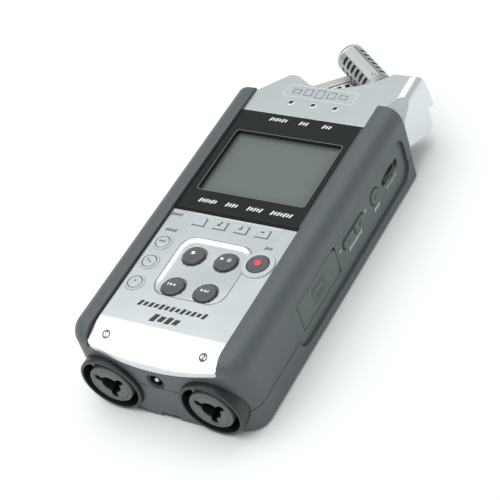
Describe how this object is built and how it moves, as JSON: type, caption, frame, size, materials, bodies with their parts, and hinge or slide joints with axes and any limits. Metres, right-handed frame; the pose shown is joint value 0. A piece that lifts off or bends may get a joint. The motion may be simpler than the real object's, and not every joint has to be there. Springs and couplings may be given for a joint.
{
  "type": "portable field recorder",
  "caption": "Handheld audio recorder with crossed swivelling microphone capsules, display, face keys, side dial and two combined jack sockets.",
  "frame": {"origin": "centre of the tripod socket's mouth, on the back face", "axes": "+Z out of the face, +Y along the body towards the microphones, +X towards the side with the jog wheel"},
  "size_m": [0.07, 0.1683, 0.0342],
  "materials": {
    "case_rubber": "satin rubberised coating",
    "silver_paint": "satin silver paint",
    "window_black": "polished black acrylic",
    "lcd_glass": "matte grey-green display",
    "board_white": "diffuser",
    "clear_ring": "frosted clear plastic",
    "board_green": "solder mask",
    "panel_plastic": "fine texture",
    "switch_black": "moulded",
    "steel": "bare",
    "jack_black": "moulded",
    "insert_grey": "moulded",
    "cell_wrap": "plain wrap",
    "brass": "turned",
    "speaker_black": "paper cone and steel basket",
    "screw_black": "black zinc",
    "lamp_dark": "dark light pipe",
    "key_dark": "satin",
    "key_silver": "translucent silver",
    "card_blue": "plain",
    "barrel_metal": "brushed, slotted"
  },
  "bodies": {
    "casing": {"battery_cells": "cell_wrap", "battery_contacts": "steel", "case_screws": "screw_black", "combo_insert_left": "insert_grey", "combo_insert_right": "insert_grey", "combo_jack_left": "jack_black", "combo_jack_right": "jack_black", "dc_jack": "jack_black", "dial_switch": "switch_black", "ext_mic_jack": "jack_black", "face_plate": "silver_paint", "head_front_shell": "silver_paint", "head_rear_shell": "silver_paint", "headphone_jack": "jack_black", "input_rims": "clear_ring", "key_board": "board_green", "lcd_backlight": "board_white", "lcd_panel": "lcd_glass", "left_side_panel": "panel_plastic", "lower_case": "case_rubber", "main_board": "board_green", "mode_lamps": "lamp_dark", "record_ring": "clear_ring", "right_side_panel": "panel_plastic", "screen_window": "window_black", "sd_door_pin": "steel", "sd_socket": "steel", "speaker": "speaker_black", "tripod_insert": "brass", "upper_case": "case_rubber", "usb_port": "steel"},
    "stop_button": {"stop_button": "key_dark"},
    "play_button": {"play_button": "key_dark"},
    "rewind_button": {"rewind_button": "key_dark"},
    "forward_button": {"forward_button": "key_dark"},
    "record_button": {"record_button": "key_dark"},
    "input_button_top": {"input_button_top": "key_silver"},
    "input_button_middle": {"input_button_middle": "key_silver"},
    "input_button_bottom": {"input_button_bottom": "key_silver"},
    "track_button_1": {"track_button_1": "key_silver"},
    "track_button_2": {"track_button_2": "key_silver"},
    "track_button_3": {"track_button_3": "key_silver"},
    "track_button_4": {"track_button_4": "key_silver"},
    "menu_button": {"menu_button": "panel_plastic"},
    "rec_level_rocker": {"rec_level_rocker": "panel_plastic"},
    "volume_rocker": {"volume_rocker": "panel_plastic"},
    "power_switch": {"power_switch": "panel_plastic"},
    "dial_carrier": {"dial_carrier": "switch_black"},
    "jog_wheel": {"jog_wheel": "switch_black"},
    "sd_door": {"sd_door": "panel_plastic"},
    "sd_card": {"sd_card": "card_blue"},
    "battery_cover": {"battery_cover": "case_rubber"},
    "upper_capsule": {"capsule_pivot_upper": "steel", "capsule_barrel_upper": "barrel_metal", "capsule_ring_upper": "barrel_metal", "capsule_element_upper": "switch_black"},
    "lower_capsule": {"capsule_pivot_lower": "steel", "capsule_barrel_lower": "barrel_metal", "capsule_ring_lower": "barrel_metal", "capsule_element_lower": "switch_black"}
  },
  "joints": [
    {"name": "stop_press", "type": "slide", "parent": "casing", "child": "stop_button", "axis": [0, 0, -1], "range_m": [0, 0.0008], "stiffness_N_per_m": 600},
    {"name": "play_press", "type": "slide", "parent": "casing", "child": "play_button", "axis": [0, 0, -1], "range_m": [0, 0.0008], "stiffness_N_per_m": 600},
    {"name": "rewind_press", "type": "slide", "parent": "casing", "child": "rewind_button", "axis": [0, 0, -1], "range_m": [0, 0.0008], "stiffness_N_per_m": 600},
    {"name": "forward_press", "type": "slide", "parent": "casing", "child": "forward_button", "axis": [0, 0, -1], "range_m": [0, 0.0008], "stiffness_N_per_m": 600},
    {"name": "record_press", "type": "slide", "parent": "casing", "child": "record_button", "axis": [0, 0, -1], "range_m": [0, 0.0008], "stiffness_N_per_m": 600},
    {"name": "input_top_press", "type": "slide", "parent": "casing", "child": "input_button_top", "axis": [0, 0, -1], "range_m": [0, 0.0008], "stiffness_N_per_m": 600},
    {"name": "input_middle_press", "type": "slide", "parent": "casing", "child": "input_button_middle", "axis": [0, 0, -1], "range_m": [0, 0.0008], "stiffness_N_per_m": 600},
    {"name": "input_bottom_press", "type": "slide", "parent": "casing", "child": "input_button_bottom", "axis": [0, 0, -1], "range_m": [0, 0.0008], "stiffness_N_per_m": 600},
    {"name": "track_1_press", "type": "slide", "parent": "casing", "child": "track_button_1", "axis": [0, 0, -1], "range_m": [0, 0.0008], "stiffness_N_per_m": 600},
    {"name": "track_2_press", "type": "slide", "parent": "casing", "child": "track_button_2", "axis": [0, 0, -1], "range_m": [0, 0.0008], "stiffness_N_per_m": 600},
    {"name": "track_3_press", "type": "slide", "parent": "casing", "child": "track_button_3", "axis": [0, 0, -1], "range_m": [0, 0.0008], "stiffness_N_per_m": 600},
    {"name": "track_4_press", "type": "slide", "parent": "casing", "child": "track_button_4", "axis": [0, 0, -1], "range_m": [0, 0.0008], "stiffness_N_per_m": 600},
    {"name": "menu_press", "type": "slide", "parent": "casing", "child": "menu_button", "axis": [-1, 0, 0], "range_m": [0, 0.0008], "stiffness_N_per_m": 600},
    {"name": "rec_level_rock", "type": "hinge", "parent": "casing", "child": "rec_level_rocker", "pos_m": [0.0312, -0.0094, 0.0164], "axis": [0, 0, 1], "range_deg": [-3, 3], "stiffness_Nm_per_rad": 0.05},
    {"name": "volume_rock", "type": "hinge", "parent": "casing", "child": "volume_rocker", "pos_m": [-0.0312, -0.028, 0.0164], "axis": [0, 0, 1], "range_deg": [-3, 3], "stiffness_Nm_per_rad": 0.05},
    {"name": "power_slide", "type": "slide", "parent": "casing", "child": "power_switch", "axis": [0, 1, 0], "range_m": [-0.002, 0.002]},
    {"name": "dial_press", "type": "slide", "parent": "casing", "child": "dial_carrier", "axis": [-1, 0, 0], "range_m": [0, 0.0006], "stiffness_N_per_m": 900},
    {"name": "dial_turn", "type": "hinge", "parent": "dial_carrier", "child": "jog_wheel", "pos_m": [0.0269, 0.0214, 0.0164], "axis": [0, 0, 1], "continuous": true},
    {"name": "sd_door_open", "type": "hinge", "parent": "casing", "child": "sd_door", "pos_m": [0.03305, -0.051, 0.0157], "axis": [0, 0, -1], "range_deg": [0, 100]},
    {"name": "card_push", "type": "slide", "parent": "casing", "child": "sd_card", "axis": [-1, 0, 0], "range_m": [0, 0.001], "stiffness_N_per_m": 300},
    {"name": "battery_cover_slide", "type": "slide", "parent": "casing", "child": "battery_cover", "axis": [0, -1, 0], "range_m": [0, 0.012]},
    {"name": "upper_capsule_turn", "type": "hinge", "parent": "casing", "child": "upper_capsule", "pos_m": [0.0209, 0.0509, 0.0258], "axis": [-0.7518, 0.6593, 0], "range_deg": [0, 180]},
    {"name": "lower_capsule_turn", "type": "hinge", "parent": "casing", "child": "lower_capsule", "pos_m": [-0.0209, 0.0509, 0.013], "axis": [0.7518, 0.6593, 0], "range_deg": [0, 180]}
  ]
}
